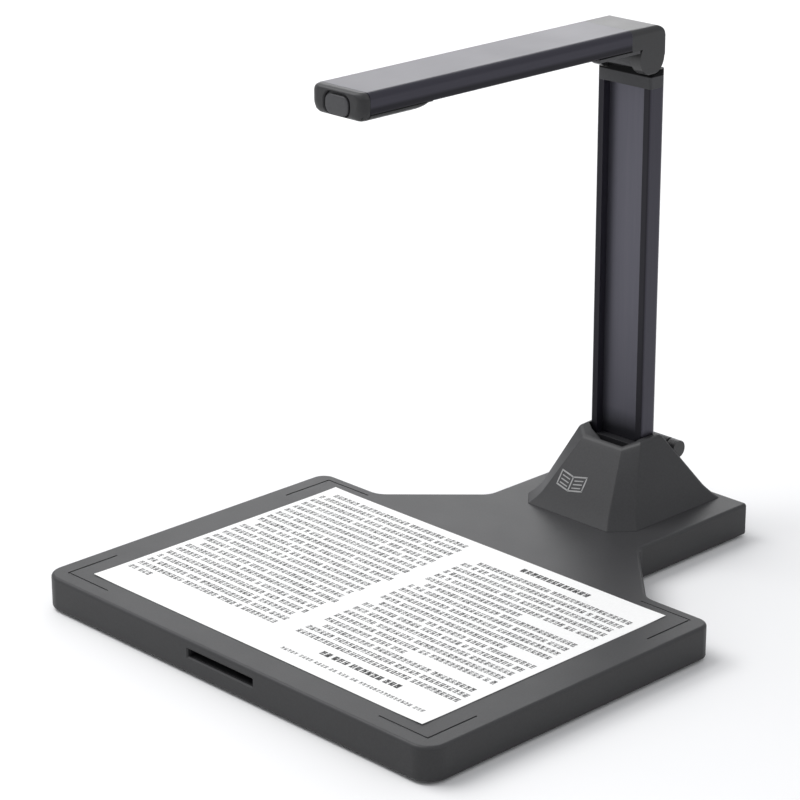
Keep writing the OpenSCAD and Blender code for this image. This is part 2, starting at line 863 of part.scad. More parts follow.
base_shell();
base_plate();
base_screws();
rubber_feet();
card_reader();
card_contacts();
card_reader_board();
main_board();
main_board_chips();
board_screws();
usb_port();
base_cable();
boot_shell();
boot_frame();
boot_screws();
fold_pins();
column_foot();
column_channel();
column_strip();
column_head();
column_screws();
column_cable();
elbow();
elbow_cover();
elbow_screws();
hinge_shaft();
friction_washers();
arm_channel();
arm_strip();
arm_cable();
head_cover();
end_cap();
camera_board();
image_sensor();
lens_holder();
lens_barrel();
lens_glass();
led_board();
led_lamps();
led_windows();
button_switch();
scan_button();
page_sheet();
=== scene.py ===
"""Looks of the book scanner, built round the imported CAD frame. Sizes inside the functions are in
millimetres; every mesh is written in metres, X right, Y back, Z up."""
import json
import math
import random

import bmesh
import bpy
from mathutils import Matrix, Vector


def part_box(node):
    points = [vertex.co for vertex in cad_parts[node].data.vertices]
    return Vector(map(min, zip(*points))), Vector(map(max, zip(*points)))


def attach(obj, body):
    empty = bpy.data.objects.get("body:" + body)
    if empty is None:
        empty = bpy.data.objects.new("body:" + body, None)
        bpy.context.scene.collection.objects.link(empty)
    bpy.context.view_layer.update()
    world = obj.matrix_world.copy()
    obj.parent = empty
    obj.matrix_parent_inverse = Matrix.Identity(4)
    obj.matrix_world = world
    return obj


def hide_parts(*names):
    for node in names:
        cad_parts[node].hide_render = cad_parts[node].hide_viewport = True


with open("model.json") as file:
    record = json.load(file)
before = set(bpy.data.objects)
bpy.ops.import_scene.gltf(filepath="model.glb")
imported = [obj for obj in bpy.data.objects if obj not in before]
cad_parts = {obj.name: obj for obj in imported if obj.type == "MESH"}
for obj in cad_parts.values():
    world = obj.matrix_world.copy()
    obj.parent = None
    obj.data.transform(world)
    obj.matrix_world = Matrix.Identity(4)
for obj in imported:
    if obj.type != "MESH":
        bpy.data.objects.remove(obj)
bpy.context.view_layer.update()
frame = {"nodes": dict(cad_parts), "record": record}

NODES = frame["nodes"]
MM = 0.001


def span(node):
    """Lowest and highest corner of a CAD node, in millimetres."""
    low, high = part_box(node)
    return low / MM, high / MM


# ------------------------------------------------------------------ shapes

def outline(corners, inset=0.0, steps=6):
    """Points of a closed anticlockwise outline of (x, y, radius) corners, drawn in by inset."""
    points = []
    for i, (x, y, radius) in enumerate(corners):
        here = Vector((x, y))
        d1 = (here - Vector(corners[i - 1][:2])).normalized()
        d2 = (Vector(corners[(i + 1) % len(corners)][:2]) - here).normalized()
        n1, n2 = Vector((-d1.y, d1.x)), Vector((-d2.y, d2.x))
        turn = 1 if d1.x * d2.y - d1.y * d2.x > 0 else -1
        r = max(radius - turn * inset, 0.05)
        half = d1.angle(d2) / 2
        corner = here + (n1 + n2) * (inset / (1 + n1.dot(n2)))
        start = corner - d1 * r * math.tan(half)
        centre = start + n1 * turn * r
        for k in range(steps + 1):
            spin = Matrix.Rotation(turn * 2 * half * k / steps, 2)
            points.append(centre + spin @ (start - centre))
    return points


def rectangle(x0, x1, y0, y1, r=0.05):
    """Corners for outline()."""
    return [(x0, y0, r), (x1, y0, r), (x1, y1, r), (x0, y1, r)]


def level(points, z):
    """A ring at height z from plan points."""
    return [(p.x, p.y, z) for p in points]


def upright(points, y):
    """A ring at depth y from front view points."""
    return [(p.x, y, p.y) for p in points]


def add_object(name, mesh):
    obj = bpy.data.objects.new(name, mesh)
    bpy.context.scene.collection.objects.link(obj)
    return obj


def finish_mesh(bm, name):
    """A mesh in metres from a bmesh in millimetres."""
    bmesh.ops.recalc_face_normals(bm, faces=bm.faces)
    bmesh.ops.scale(bm, vec=(MM, MM, MM), verts=bm.verts)
    mesh = bpy.data.meshes.new(name)
    bm.to_mesh(mesh)
    bm.free()
    return mesh


def skin(bm, rings, closed=True):
    """Quads from ring to ring, and a cap on each end unless the last ring joins the first."""
    rows = [[bm.verts.new(p) for p in ring] for ring in rings]
    pairs = list(zip(rows, rows[1:])) + ([] if closed else [(rows[-1], rows[0])])
    for low, high in pairs:
        for i in range(len(low)):
            j = (i + 1) % len(low)
            bm.faces.new((low[i], low[j], high[j], high[i]))
    if closed:
        bm.faces.new(rows[0][::-1])
        bm.faces.new(rows[-1])


def loft(name, *solids):
    """One object of closed solids, each a list of rings."""
    bm = bmesh.new()
    for rings in solids:
        skin(bm, rings)
    return add_object(name, finish_mesh(bm, name))


def circle(radius, z, y=0, segments=64):
    """A round ring at height z, about x = 0 and the given y."""
    angles = (2 * math.pi * k / segments for k in range(segments))
    return [(radius * math.cos(a), y + radius * math.sin(a), z) for a in angles]


def turned(name, profile, y):
    """A turned part about an upright axis: profile is (radius, height) all round a closed loop."""
    bm = bmesh.new()
    skin(bm, [circle(r, h, y) for r, h in profile], closed=False)
    return add_object(name, finish_mesh(bm, name))


def carve(obj, *tools):
    """Cuts closed solids, each a list of rings, out of an object."""
    cut_tool = loft("tool", *tools)
    cut = obj.modifiers.new("cut", "BOOLEAN")
    cut.operation, cut.object, cut.solver = "DIFFERENCE", cut_tool, "EXACT"
    graph = bpy.context.evaluated_depsgraph_get()
    mesh = bpy.data.meshes.new_from_object(obj.evaluated_get(graph))
    obj.modifiers.clear()
    obj.data = mesh
    bpy.data.objects.remove(cut_tool)


def soft_shading(obj):
    """Smooth shading that keeps the real edges."""
    obj.data.shade_smooth()
    obj.data.set_sharp_from_angle(angle=math.radians(30))
    normals = obj.modifiers.new("normals", "WEIGHTED_NORMAL")
    normals.keep_sharp = True


def soften(node, width):
    """Rounds the hard edges of a CAD node with modifiers only; the width is in millimetres."""
    obj = NODES[node]
    weld = obj.modifiers.new("weld", "WELD")
    weld.merge_threshold = 0.005 * MM
    flat = obj.modifiers.new("flat", "DECIMATE")
    flat.decimate_type, flat.angle_limit = "DISSOLVE", math.radians(1)
    bevel = obj.modifiers.new("edges", "BEVEL")
    bevel.width, bevel.segments = width * MM, 3
    bevel.limit_method, bevel.angle_limit = "ANGLE", math.radians(35)
    bevel.use_clamp_overlap = True
    bevel.harden_normals = False
    normals = obj.modifiers.new("normals", "WEIGHTED_NORMAL")
    normals.keep_sharp = False


def place(obj, body, material, replaced=()):
    """Material, body and slot of a new piece."""
    obj.data.materials.clear()
    obj.data.materials.append(material)
    soft_shading(obj)
    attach(obj, body)
    if replaced:
        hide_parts(*replaced)
    return obj


# ------------------------------------------------------------------ materials

class Shader:
    """A material's node tree with short calls for the nodes used here."""

    def __init__(self, name):
        self.material = bpy.data.materials.new(name)
        self.material.use_nodes = True
        self.tree = self.material.node_tree
        self.tree.nodes.clear()
        self.place = self.node("TexCoord").outputs["Object"]

    def node(self, kind, inputs=None, **settings):
        made = self.tree.nodes.new("ShaderNode" + kind)
        for key, value in settings.items():
            setattr(made, key, value)
        for key, value in (inputs or {}).items():
            if isinstance(value, bpy.types.NodeSocket):
                self.tree.links.new(value, made.inputs[key])
            else:
                made.inputs[key].default_value = value
        return made

    def noise(self, size_mm, detail=2.0, stretch=None, rough=0.5):
        """Noise with features of that size; stretch gives them another size along an axis."""
        where = self.place
        if stretch:
            where = self.node("Mapping", {"Vector": where, "Scale": stretch}).outputs[0]
        made = self.node("TexNoise", {"Vector": where, "Scale": 1000 / size_mm,
                                      "Detail": detail, "Roughness": rough})
        return made.outputs["Fac"]

    def remap(self, value, low, high, to_low, to_high):
        made = self.node("MapRange", {"Value": value, "From Min": low, "From Max": high,
                                      "To Min": to_low, "To Max": to_high})
        return made.outputs[0]

    def maths(self, operation, a, b=0.0):
        made = self.node("Math", operation=operation)
        for socket, value in zip(made.inputs, (a, b)):
            if isinstance(value, bpy.types.NodeSocket):
                self.tree.links.new(value, socket)
            else:
                socket.default_value = value
        return made.outputs[0]

    def mix(self, factor, a, b):
        made = self.node("Mix", data_type="RGBA")
        for socket, value in ((made.inputs[0], factor), (made.inputs[6], a), (made.inputs[7], b)):
            if isinstance(value, bpy.types.NodeSocket):
                self.tree.links.new(value, socket)
            else:
                socket.default_value = value
        return made.outputs[2]

    def edges(self, radius_mm):
        """Normal with rounded edges, and a mask that is 1 on outer edges."""
        soft = self.node("Bevel", {"Radius": radius_mm * MM}, samples=4).outputs[0]
        flat = self.node("NewGeometry").outputs["Normal"]
        same = self.node("VectorMath", {0: soft, 1: flat}, operation="DOT_PRODUCT")
        mask = self.remap(same.outputs["Value"], 0.99, 0.75, 0.0, 1.0)
        return soft, mask

    def bump(self, height, strength, distance_mm, normal=None):
        made = self.node("Bump", {"Height": height, "Strength": strength,
                                  "Distance": distance_mm * MM})
        if normal is not None:
            self.tree.links.new(normal, made.inputs["Normal"])
        return made.outputs[0]

    def paint_shade(self, body, zone, factor):
        """Paints shade: multiplies the colour by the factor in a zone (coordinates, axis, start, end,
        until): not yet at start, fully from end as far as until."""
        source, axis, start, end, until = zone
        split = self.node("SeparateXYZ", {0: self.node("TexCoord").outputs[source]})
        mask = self.maths("MULTIPLY", self.remap(split.outputs[axis], start, end, 0.0, 1.0),
                          self.remap(split.outputs[axis], until, until + (end - start), 1.0, 0.0))
        return self.mix(self.maths("MULTIPLY", mask, 1 - factor), body, colour(0))

    def close(self, **inputs):
        names = {key.replace("_", " "): value for key, value in inputs.items()}
        shader = self.node("BsdfPrincipled", names)
        self.node("OutputMaterial", {"Surface": shader.outputs[0]})
        return self.material


def colour(r, g=None, b=None):
    """Linear colour; one number alone is a grey."""
    return (r, r if g is None else g, r if b is None else b, 1)


def shade(base, factor):
    """The same colour, lighter or darker."""
    return tuple(c * factor for c in base[:3]) + (1,)


def plastic(name, base, rough=0.45, grain=0.55, depth=0.035, edge=0.45, wear=0.3, mottle=0.04,
            gloss=0.3, zone=None, sides=1.0):
    """Moulded plastic: spark-eroded grain, slight flow marks and rubbed edges. Sides below 1 paints
    shade on the upright faces, darker than the flat ones; a zone is painted shadow, nearly black."""
    s = Shader(name)
    flow = s.noise(45, 3)
    body = s.mix(s.remap(flow, 0.3, 0.7, 0, 1), shade(base, 1 - mottle), shade(base, 1 + mottle))
    speck = s.noise(grain * 2.2, 2)
    body = s.mix(s.remap(speck, 0.35, 0.65, 0, 1), body, s.mix(0.5, body, shade(base, 1.25)))
    soft, mask = s.edges(edge)
    rubbed = s.maths("MULTIPLY", mask, s.remap(s.noise(6, 4), 0.35, 0.7, 0.2, 1.0))
    body = s.mix(s.maths("MULTIPLY", rubbed, wear), body, shade(base, 2.0))
    # painted shade: upright faces darker than flat ones, as if lit from above
    if sides < 1:
        body = s.paint_shade(body, ("Normal", "Z", 0.35, 0.15, -2), sides)
    # painted shadow: the zone is painted nearly black, with less gloss
    if zone:
        body = s.paint_shade(body, zone, 0.1)
        gloss = s.maths("MULTIPLY", s.paint_shade(colour(1), zone, 0.15), gloss)
    smudge = s.remap(s.noise(28, 4, rough=0.6), 0.3, 0.7, rough - 0.015, rough + 0.02)
    finish = s.maths("SUBTRACT", smudge, s.maths("MULTIPLY", rubbed, 0.08))
    skin_height = s.maths("ADD", s.noise(grain, 2), s.maths("MULTIPLY", s.noise(grain * 3, 1), 0.6))
    normal = s.bump(skin_height, 0.55, depth, soft)
    return s.close(Base_Color=body, Roughness=finish, Normal=normal, Specular_IOR_Level=gloss)


def anodised(name, base, along, rough=0.36, metallic=0.75, zone=None):
    """Anodised extrusion with fine drawn lines along one axis and a few deeper ones."""
    s = Shader(name)
    fine = tuple(0.02 if axis == along else 1.0 for axis in "XYZ")
    lines = s.noise(0.5, 2, stretch=fine)
    broad = s.noise(3.2, 2, stretch=fine)
    tone = s.maths("ADD", s.maths("MULTIPLY", lines, 0.5), s.maths("MULTIPLY", broad, 0.5))
    body = s.mix(s.remap(tone, 0.35, 0.65, 0, 1), shade(base, 0.95), shade(base, 1.05))
    soft, mask = s.edges(0.35)
    rubbed = s.maths("MULTIPLY", mask, s.remap(s.noise(4, 4), 0.4, 0.7, 0.1, 1.0))
    # painted shade: the zone darkens the colour
    if zone:
        body = s.paint_shade(body, zone, 0.35)
    body = s.mix(s.maths("MULTIPLY", rubbed, 0.35), body, shade(base, 3.0))
    finish = s.remap(s.noise(60, 3), 0.3, 0.7, rough - 0.015, rough + 0.02)
    grain = s.maths("ADD", lines, s.maths("MULTIPLY", s.noise(0.18, 1), 0.4))
    normal = s.bump(grain, 0.3, 0.008, soft)
    return s.close(Base_Color=body, Roughness=finish, Metallic=metallic, Normal=normal)


def metal(name, base, rough=0.3, metallic=1.0, grain=0.3, depth=0.01, mottle=0.12, edge=0.15):
    """Plated, cast or ground metal with fine texture and uneven tone."""
    s = Shader(name)
    tone = s.remap(s.noise(5, 4, rough=0.65), 0.3, 0.7, 0, 1)
    body = s.mix(tone, shade(base, 1 - mottle), shade(base, 1 + mottle))
    soft, mask = s.edges(edge)
    body = s.mix(s.maths("MULTIPLY", mask, 0.4), body, shade(base, 1.8))
    finish = s.remap(s.noise(2.5, 4), 0.3, 0.7, rough - 0.06, rough + 0.1)
    normal = s.bump(s.noise(grain, 3), 0.4, depth, soft)
    return s.close(Base_Color=body, Roughness=finish, Metallic=metallic, Normal=normal)


def rubber(name, base, rough=0.8):
    """Dull rubber or cable sheath with fine pits."""
    s = Shader(name)
    body = s.mix(s.remap(s.noise(3, 3), 0.3, 0.7, 0, 1), shade(base, 0.8), shade(base, 1.5))
    pits = s.node("TexVoronoi", {"Vector": s.place, "Scale": 1000 / 0.7}).outputs["Distance"]
    height = s.maths("ADD", pits, s.noise(0.25, 2))
    finish = s.remap(s.noise(4, 3), 0.3, 0.7, rough - 0.08, rough + 0.08)
    return s.close(Base_Color=body, Roughness=finish, Normal=s.bump(height, 0.4, 0.05))


def circuit(name):
    """Solder mask over faint tracks, with tinned pads."""
    s = Shader(name)
    grid = s.node("TexVoronoi", {"Vector": s.place, "Scale": 1000 / 4.0, "Randomness": 0.7},
                  feature="DISTANCE_TO_EDGE").outputs["Distance"]
    tracks = s.remap(grid, 0.03, 0.06, 1.0, 0.0)
    body = s.mix(tracks, colour(0.012, 0.10, 0.04), colour(0.03, 0.19, 0.08))
    pads = s.node("TexVoronoi", {"Vector": s.place, "Scale": 1000 / 5.5}).outputs["Distance"]
    pad = s.remap(pads, 0.08, 0.12, 1.0, 0.0)
    body = s.mix(pad, body, colour(0.62, 0.60, 0.55))
    finish = s.remap(s.noise(1.5, 3), 0.3, 0.7, 0.28, 0.42)
    normal = s.bump(s.maths("ADD", tracks, s.noise(0.4, 2)), 0.3, 0.03)
    return s.close(Base_Color=body, Roughness=finish, Metallic=s.maths("MULTIPLY", pad, 0.8),
                   Normal=normal)


def coated_glass(name):
    """Dark lens glass, violet towards the rim, under a clear coat with a little dust."""
    s = Shader(name)
    rim = s.node("LayerWeight", {"Blend": 0.35}).outputs["Facing"]
    body = s.mix(rim, colour(0.015, 0.02, 0.05), colour(0.10, 0.05, 0.18))
    dust = s.remap(s.noise(0.6, 3), 0.62, 0.75, 0.0, 0.25)
    finish = s.maths("ADD", dust, 0.04)
    return s.close(Base_Color=body, Roughness=finish, Coat_Weight=1.0, Coat_Roughness=0.03,
                   Coat_Tint=colour(0.75, 0.85, 1.0), Normal=s.bump(s.noise(3, 2), 0.05, 0.02))


def diffuser(name):
    """Milky window over the lamps, with a lens pattern."""
    s = Shader(name)
    cells = s.node("TexVoronoi", {"Vector": s.place, "Scale": 1000 / 1.1}).outputs["Distance"]
    body = s.mix(s.remap(cells, 0.1, 0.6, 0, 1), colour(0.80, 0.82, 0.84), colour(0.62, 0.65, 0.68))
    return s.close(Base_Color=body, Roughness=s.remap(s.noise(1, 2), 0.3, 0.7, 0.15, 0.3),
                   Transmission_Weight=0.3, Normal=s.bump(cells, 0.5, 0.12))


def paper(name):
    """Uncoated paper with fibres and a slightly uneven surface."""
    s = Shader(name)
    fibres = s.noise(0.9, 4, stretch=(1.0, 0.25, 1.0), rough=0.7)
    clouds = s.noise(18, 3)
    body = s.mix(s.remap(fibres, 0.35, 0.7, 0, 1), colour(0.86, 0.86, 0.85), colour(0.93, 0.93, 0.92))
    body = s.mix(s.remap(clouds, 0.35, 0.65, 0, 0.35), body, colour(0.89, 0.885, 0.87))
    return s.close(Base_Color=body, Roughness=0.85, Normal=s.bump(fibres, 0.25, 0.03),
                   Specular_IOR_Level=0.3)


def ink(name, dark, light):
    """Printed ink, broken up by the paper's tooth."""
    s = Shader(name)
    patches = s.noise(5.5, 3)
    tooth = s.noise(0.35, 3)
    tone = s.maths("ADD", s.remap(patches, 0.35, 0.65, 0, 0.8), s.remap(tooth, 0.4, 0.7, 0, 0.45))
    body = s.mix(tone, dark, light)
    return s.close(Base_Color=body, Roughness=s.remap(tooth, 0.3, 0.7, 0.5, 0.75),
                   Normal=s.bump(tooth, 0.2, 0.01))


def floor_surface(name):
    """Pale matt floor with a faint unevenness."""
    s = Shader(name)
    body = s.mix(s.noise(300, 3), colour(0.86), colour(0.89))
    return s.close(Base_Color=body, Roughness=0.9, Normal=s.bump(s.noise(2, 3), 0.05, 0.05),
                   Specular_IOR_Level=0.1)


# ------------------------------------------------------------------ base

PLATFORM_BACK = 40
BLOCK_HALF = 67.5
GUSSET_REACH = 53.5


def base_corners():
    """Plan of the base: platform, 45 degree gussets with round blends, and the rear block."""
    low, high = span("base_shell")
    back, block, reach = PLATFORM_BACK, BLOCK_HALF, GUSSET_REACH
    right = [(high.x, low.y, 14), (high.x, back, 10), (block + reach, back, 15),
             (block, back + reach, 12), (block, high.y, 3)]
    return right + [(-x, y, r) for x, y, r in reversed(right)]


def base_housing(material):
    """Shell of the base: hollow from below, with a round top edge and all its cuts."""
    low, high = span("base_shell")
    corners = base_corners()

    def plan(inset, z):
        return level(outline(corners, inset, 8), z)

    wall, roof, fillet = 2.5, high.z - 3, 2.2
    rings = [plan(wall, roof), plan(wall, low.z), plan(0.9, low.z), plan(0.25, low.z + 0.35),
             plan(0, low.z + 1.0), plan(0, high.z - fillet)]
    for k in range(1, 7):
        a = math.pi / 2 * k / 6
        rings.append(plan(fillet * (1 - math.cos(a)), high.z - fillet * (1 - math.sin(a))))
    obj = loft("base_housing", rings)
    carve(obj, *mark_cuts(low, high), slot_cut(low), usb_cut(high))
    return place(obj, "base", material, ["base_shell"])


def mark_cuts(low, high):
    """Fine L-shaped grooves at the four corners of the scanning area."""
    width, arm, deep = 1.2, 40, 0.5
    from_side, from_front, from_back = 12, 11, 7
    cuts = []
    for sx in (-1, 1):
        x = sx * (high.x - from_side)
        for y, sy in ((low.y + from_front, 1), (PLATFORM_BACK - from_back, -1)):
            points = [(x, y), (x - sx * arm, y), (x - sx * arm, y + sy * width),
                      (x - sx * width, y + sy * width), (x - sx * width, y + sy * arm),
                      (x, y + sy * arm)]
            if sx * sy > 0:
                points.reverse()
            cuts.append([level(outline([(px, py, 0.2) for px, py in points], 0, 2), z)
                         for z in (high.z - deep, high.z + 1)])
    return cuts


def slot_cut(low):
    """Card slot with a chamfered mouth."""
    reader_low, reader_high = span("card_reader")
    x0, x1 = reader_low.x + 3.5, reader_high.x - 3.5
    z0, z1 = reader_low.z + 5.5, reader_high.z - 3.3
    steps = ((-1, -1.8), (0, -0.9), (0.9, 0), (4, 0))
    return [upright(outline(rectangle(x0 + i, x1 - i, z0 + i, z1 - i, 0.6), 0, 3), low.y + y)
            for y, i in steps]


def usb_cut(high):
    """Opening in the back edge round the data inlet, flared outwards."""
    port_low, port_high = span("usb_port")
    rings = []
    for y, i in ((-4, -0.25), (-0.5, -0.25), (0, -0.7), (1, -1.7)):
        shape = rectangle(port_low.x + i, port_high.x - i, port_low.z + i, port_high.z - i, 1.5 - i)
        rings.append(upright(outline(shape), high.y + y))
    return rings


# ------------------------------------------------------------------ boot

def boot_corners():
    """Corners, front left first and anticlockwise: (x, y, radius) at the foot, (x, y, radius,
    height) at the rim, and how far out the skirt carries each corner of the foot."""
    low, high = span("boot_shell")
    front, back, side, top = low.y, high.y, high.x, high.z
    column_back = span("column_channel")[1].y
    foot = [(-33, front, 2.5), (33, front, 2.5), (side, front + 14.4, 2.5), (side, back, 4),
            (-side, back, 4), (-side, front + 14.4, 2.5)]
    rim = [(-16.5, front + 32, 1.5, top - 4.8), (17.5, front + 32, 1.5, top - 4.8),
           (28, front + 39.4, 1.5, top), (28, column_back, 2, top),
           (-26.2, column_back, 2, top), (-26.2, front + 39.4, 1.5, top - 1)]
    skirt = [(-4, -0.4), (1.2, -0.4), (2.2, 0), (2.5, 2.5), (-5, 2.5), (-5, 0)]
    return foot, rim, skirt


def boot_ring(t, inset=0.0):
    """Outline of the boot at fraction t of its height; the skirt ends at about a quarter."""
    foot_z = span("boot_shell")[0].z
    flare = max(0.0, 1 - t / 0.24) ** 2
    steps = 5
    corners, heights = [], []
    for (x0, y0, r0), (x1, y1, r1, z1), (fx, fy) in zip(*boot_corners()):
        corners.append((x0 + (x1 - x0) * t + fx * flare, y0 + (y1 - y0) * t + fy * flare,
                        r0 + (r1 - r0) * t))
        heights += [foot_z + (z1 - foot_z) * t] * (steps + 1)
    return [(p.x, p.y, z) for p, z in zip(outline(corners, inset, steps), heights)]


def boot_housing(material):
    """Boot with a round rim, open at the top and back for the column and its knuckle."""
    wall, fillet, tall = 3, 2.2, 50
    rings = [boot_ring(t, wall) for t in (0.93, 0.6, 0.3, 0.15, 0.0)]
    rings += [boot_ring(t) for t in (0, 0.015, 0.04, 0.07, 0.1, 0.14, 0.18, 0.22, 0.26, 0.32,
                                     0.45, 0.6, 0.75, 0.9)]
    for k in range(5):
        a = math.pi / 2 * k / 4
        rings.append(boot_ring(1 - fillet / tall * (1 - math.sin(a)), fillet * (1 - math.cos(a))))
    obj = loft("boot_housing", rings)
    for tool in boot_openings():
        carve(obj, tool)
    return place(obj, "base", material, ["boot_shell"])


def boot_openings():
    """Well round the column's foot, its wider mouth at the rim, and the notch for the knuckle."""
    low, high = span("boot_shell")
    front, past_back, past_top = low.y, high.y + 7, high.z + 5
    half = span("column_foot")[1].x + 0.8
    sides = [(half, past_back), (-half, past_back)]
    well = [(-15.8, front + 34.9), (15.8, front + 34.9), (half, front + 39.3), *sides,
            (-half, front + 39.3)]
    mouth = [(-3, front + 34), (15.8, front + 34), (half, front + 39.9), *sides,
             (-half, front + 44.7)]
    notch = rectangle(-31.1, 31.1, front + 68.8, past_back, 1.5)

    def tool(corners, *heights):
        return [level(outline(corners, 0, 3), z) for z in heights]

    return [tool([(x, y, 0.6) for x, y in well], 50, 62.5),
            tool([(x, y, 0.8) for x, y in mouth], 62, past_top), tool(notch, 51, past_top)]


def boot_mark(material):
    """Plain open-book pictogram printed on the boot's front face."""
    foot_z = span("boot_shell")[0].z
    foot, rim, _ = boot_corners()
    foot_y, rim_y, rim_z = foot[0][1], rim[0][1], rim[0][3]
    up = Vector((0, rim_y - foot_y, rim_z - foot_z)).normalized()
    out = Vector((0, -up.z, up.y))
    centre = Vector((-10, foot_y, foot_z)) + up * 23
    bm = bmesh.new()

    def stroke(start, end, width):
        a, b = Vector(start), Vector(end)
        d = (b - a).normalized() * width / 2
        n = Vector((-d.y, d.x))
        ring = [a - d - n, b + d - n, b + d + n, a - d + n]
        skin(bm, [[centre + Vector((p.x, 0, 0)) + up * p.y + out * h for p in ring]
                  for h in (-0.1, 0.08)])

    for s in (-1, 1):
        cover = [(0, -6), (s * 11, -3.6), (s * 11, 6.4), (0, 4)]
        for start, end in zip(cover, cover[1:]):
            stroke(start, end, 1.0)
        for y in (1.6, -1.0, -3.6):
            stroke((s * 2.4, y + 0.2), (s * 8.8, y + 1.6), 0.8)
    stroke((0, -6), (0, 4), 1.0)
    obj = add_object("boot_pictogram", finish_mesh(bm, "boot_pictogram"))
    return place(obj, "base", material)


# ------------------------------------------------------------------ camera head

def pod_ring(y, side, low_z, high_z, slope):
    """Ring of the pod at depth y, with steep shoulders between its sides and its underside."""
    shoulder = low_z + (high_z - low_z) * 0.62
    corners = [(-side + slope, low_z, 3), (side - slope, low_z, 3), (side, shoulder, 3),
               (side, high_z, 0.05), (-side, high_z, 0.05), (-side, shoulder, 3)]
    return upright(outline(corners, 0, 6), y)


def bar_ring(y, side, low_z, high_z, r_low, r_high):
    """Ring of the end cap at depth y, with its own radius for the lower and the upper corners."""
    corners = [(-side, low_z, r_low), (side, low_z, r_low), (side, high_z, r_high),
               (-side, high_z, r_high)]
    return upright(outline(corners, 0, 7), y)


def end_cap(material):
    """Cap with a soft front, hollow behind, open for the button."""
    low, high = span("end_cap")
    back = span("arm_channel")[0].y
    front, half, floor_z = low.y, high.x, low.z
    depth, wall = back - front, 1.6
    seam, low_r, high_r = 0.05, 6.6, 4.6
    rings = [bar_ring(front + 2, half - 2.5, floor_z + 2, high.z - 2, 2.5, 3.2),
             bar_ring(back - seam, half - 2, floor_z + wall, high.z - wall, 3, 4),
             bar_ring(back - seam, half - 0.1, floor_z + 0.4, high.z - 0.1, low_r, 5.4)]

    def rounding(y, straight, amount):
        """How far an edge has curved in at depth y, after a straight stretch at the back."""
        f = min(1.0, max(0.0, (back - straight - y) / (depth - straight)))
        return amount * (1 - math.sqrt(1 - f * f))

    for k in range(10):
        a = math.pi / 2 * k / 9
        y = back - 0.3 - (depth - 0.3) * math.sin(a)
        drop, lift = rounding(y, 3.2, 2.0), rounding(y, 1.6, 4.2)
        rings.append(bar_ring(y, half - depth * (1 - math.cos(a)), floor_z + 0.4 + lift,
                              high.z - drop, low_r - lift * 0.4, high_r - drop * 0.6))
    obj = loft("end_cap_cover", rings)
    key_low, key_high = span("scan_button")
    edge = rectangle(-11, 11, key_low.z - 0.1, key_high.z + 0.1, 5.6)
    carve(obj, [upright(outline(edge, inset, 8), front + y)
                for y, inset in ((-1, -1.1), (0.2, -0.6), (1, 0), (3, 0))])
    return place(obj, "arm", material, ["end_cap"])


def scan_key(material):
    """Button with a soft, slightly domed face and a rim behind the cap's wall."""
    low, high = span("scan_button")
    front, back = low.y, high.y
    z0, z1, half = low.z + 0.7, high.z - 1.2, high.x - 1.3

    def shape(inset, y):
        return upright(outline(rectangle(-half, half, z0, z1, 4.8), inset, 8), y)

    flange = outline(rectangle(-half - 1.2, half + 1.2, z0 + 0.25, z1 + 0.9, 5.4), 0, 8)
    rings = [upright(flange, back), upright(flange, back - 0.7), shape(0.3, back - 0.75)]
    for inset, y in ((0, 0.9), (0.12, 0.5), (0.45, 0.2), (1.1, 0.06), (2.6, 0)):
        rings.append(shape(inset, front + y))
    obj = loft("scan_key", rings)
    return place(obj, "button", material, ["scan_button"])


def head_pod(material):
    """Pod under the arm with a rounded underside, a lens opening and two lamp slots."""
    low, high = span("head_cover")
    side, top = high.x - 0.3, span("arm_channel")[0].z - 0.05
    back = high.y - 3
    steps = ((low.y, 0.5), (back - 10.5, 0.5), (back - 8, 0.7), (back - 6, 1.2), (back - 3, 2.6),
             (back - 1.2, 3.6), (back, 4))
    obj = loft("head_pod", [pod_ring(y, side, low.z + lift, top, 4.5) for y, lift in steps])
    hollow = [level(outline(rectangle(-14.3, 14.3, low.y + 2, back - 9, 1), 0, 3), z)
              for z in (low.z + 1.6, top + 2)]
    lens_low, lens_high = span("lens_barrel")
    lens_y, lens_r = (lens_low.y + lens_high.y) / 2, lens_high.x + 0.8
    bezel = [circle(lens_r + wider, low.z + z, lens_y)
             for wider, z in ((2.2, -1), (1.2, 0), (0, 1), (0, 3))]
    lamp_slots = []
    for y in (lens_y - 15, lens_y + 15):
        slot = []
        for i, z in ((1, -1), (0.5, 0), (0, 0.5), (0, 3)):
            shape = rectangle(-12.1 - i, 12.1 + i, y - 2.6 - i, y + 2.6 + i, 2.5 + i)
            slot.append(level(outline(shape), low.z + z))
        lamp_slots.append(slot)
    for tool in (hollow, bezel, *lamp_slots):
        carve(obj, tool)
    return place(obj, "arm", material, ["head_cover"])


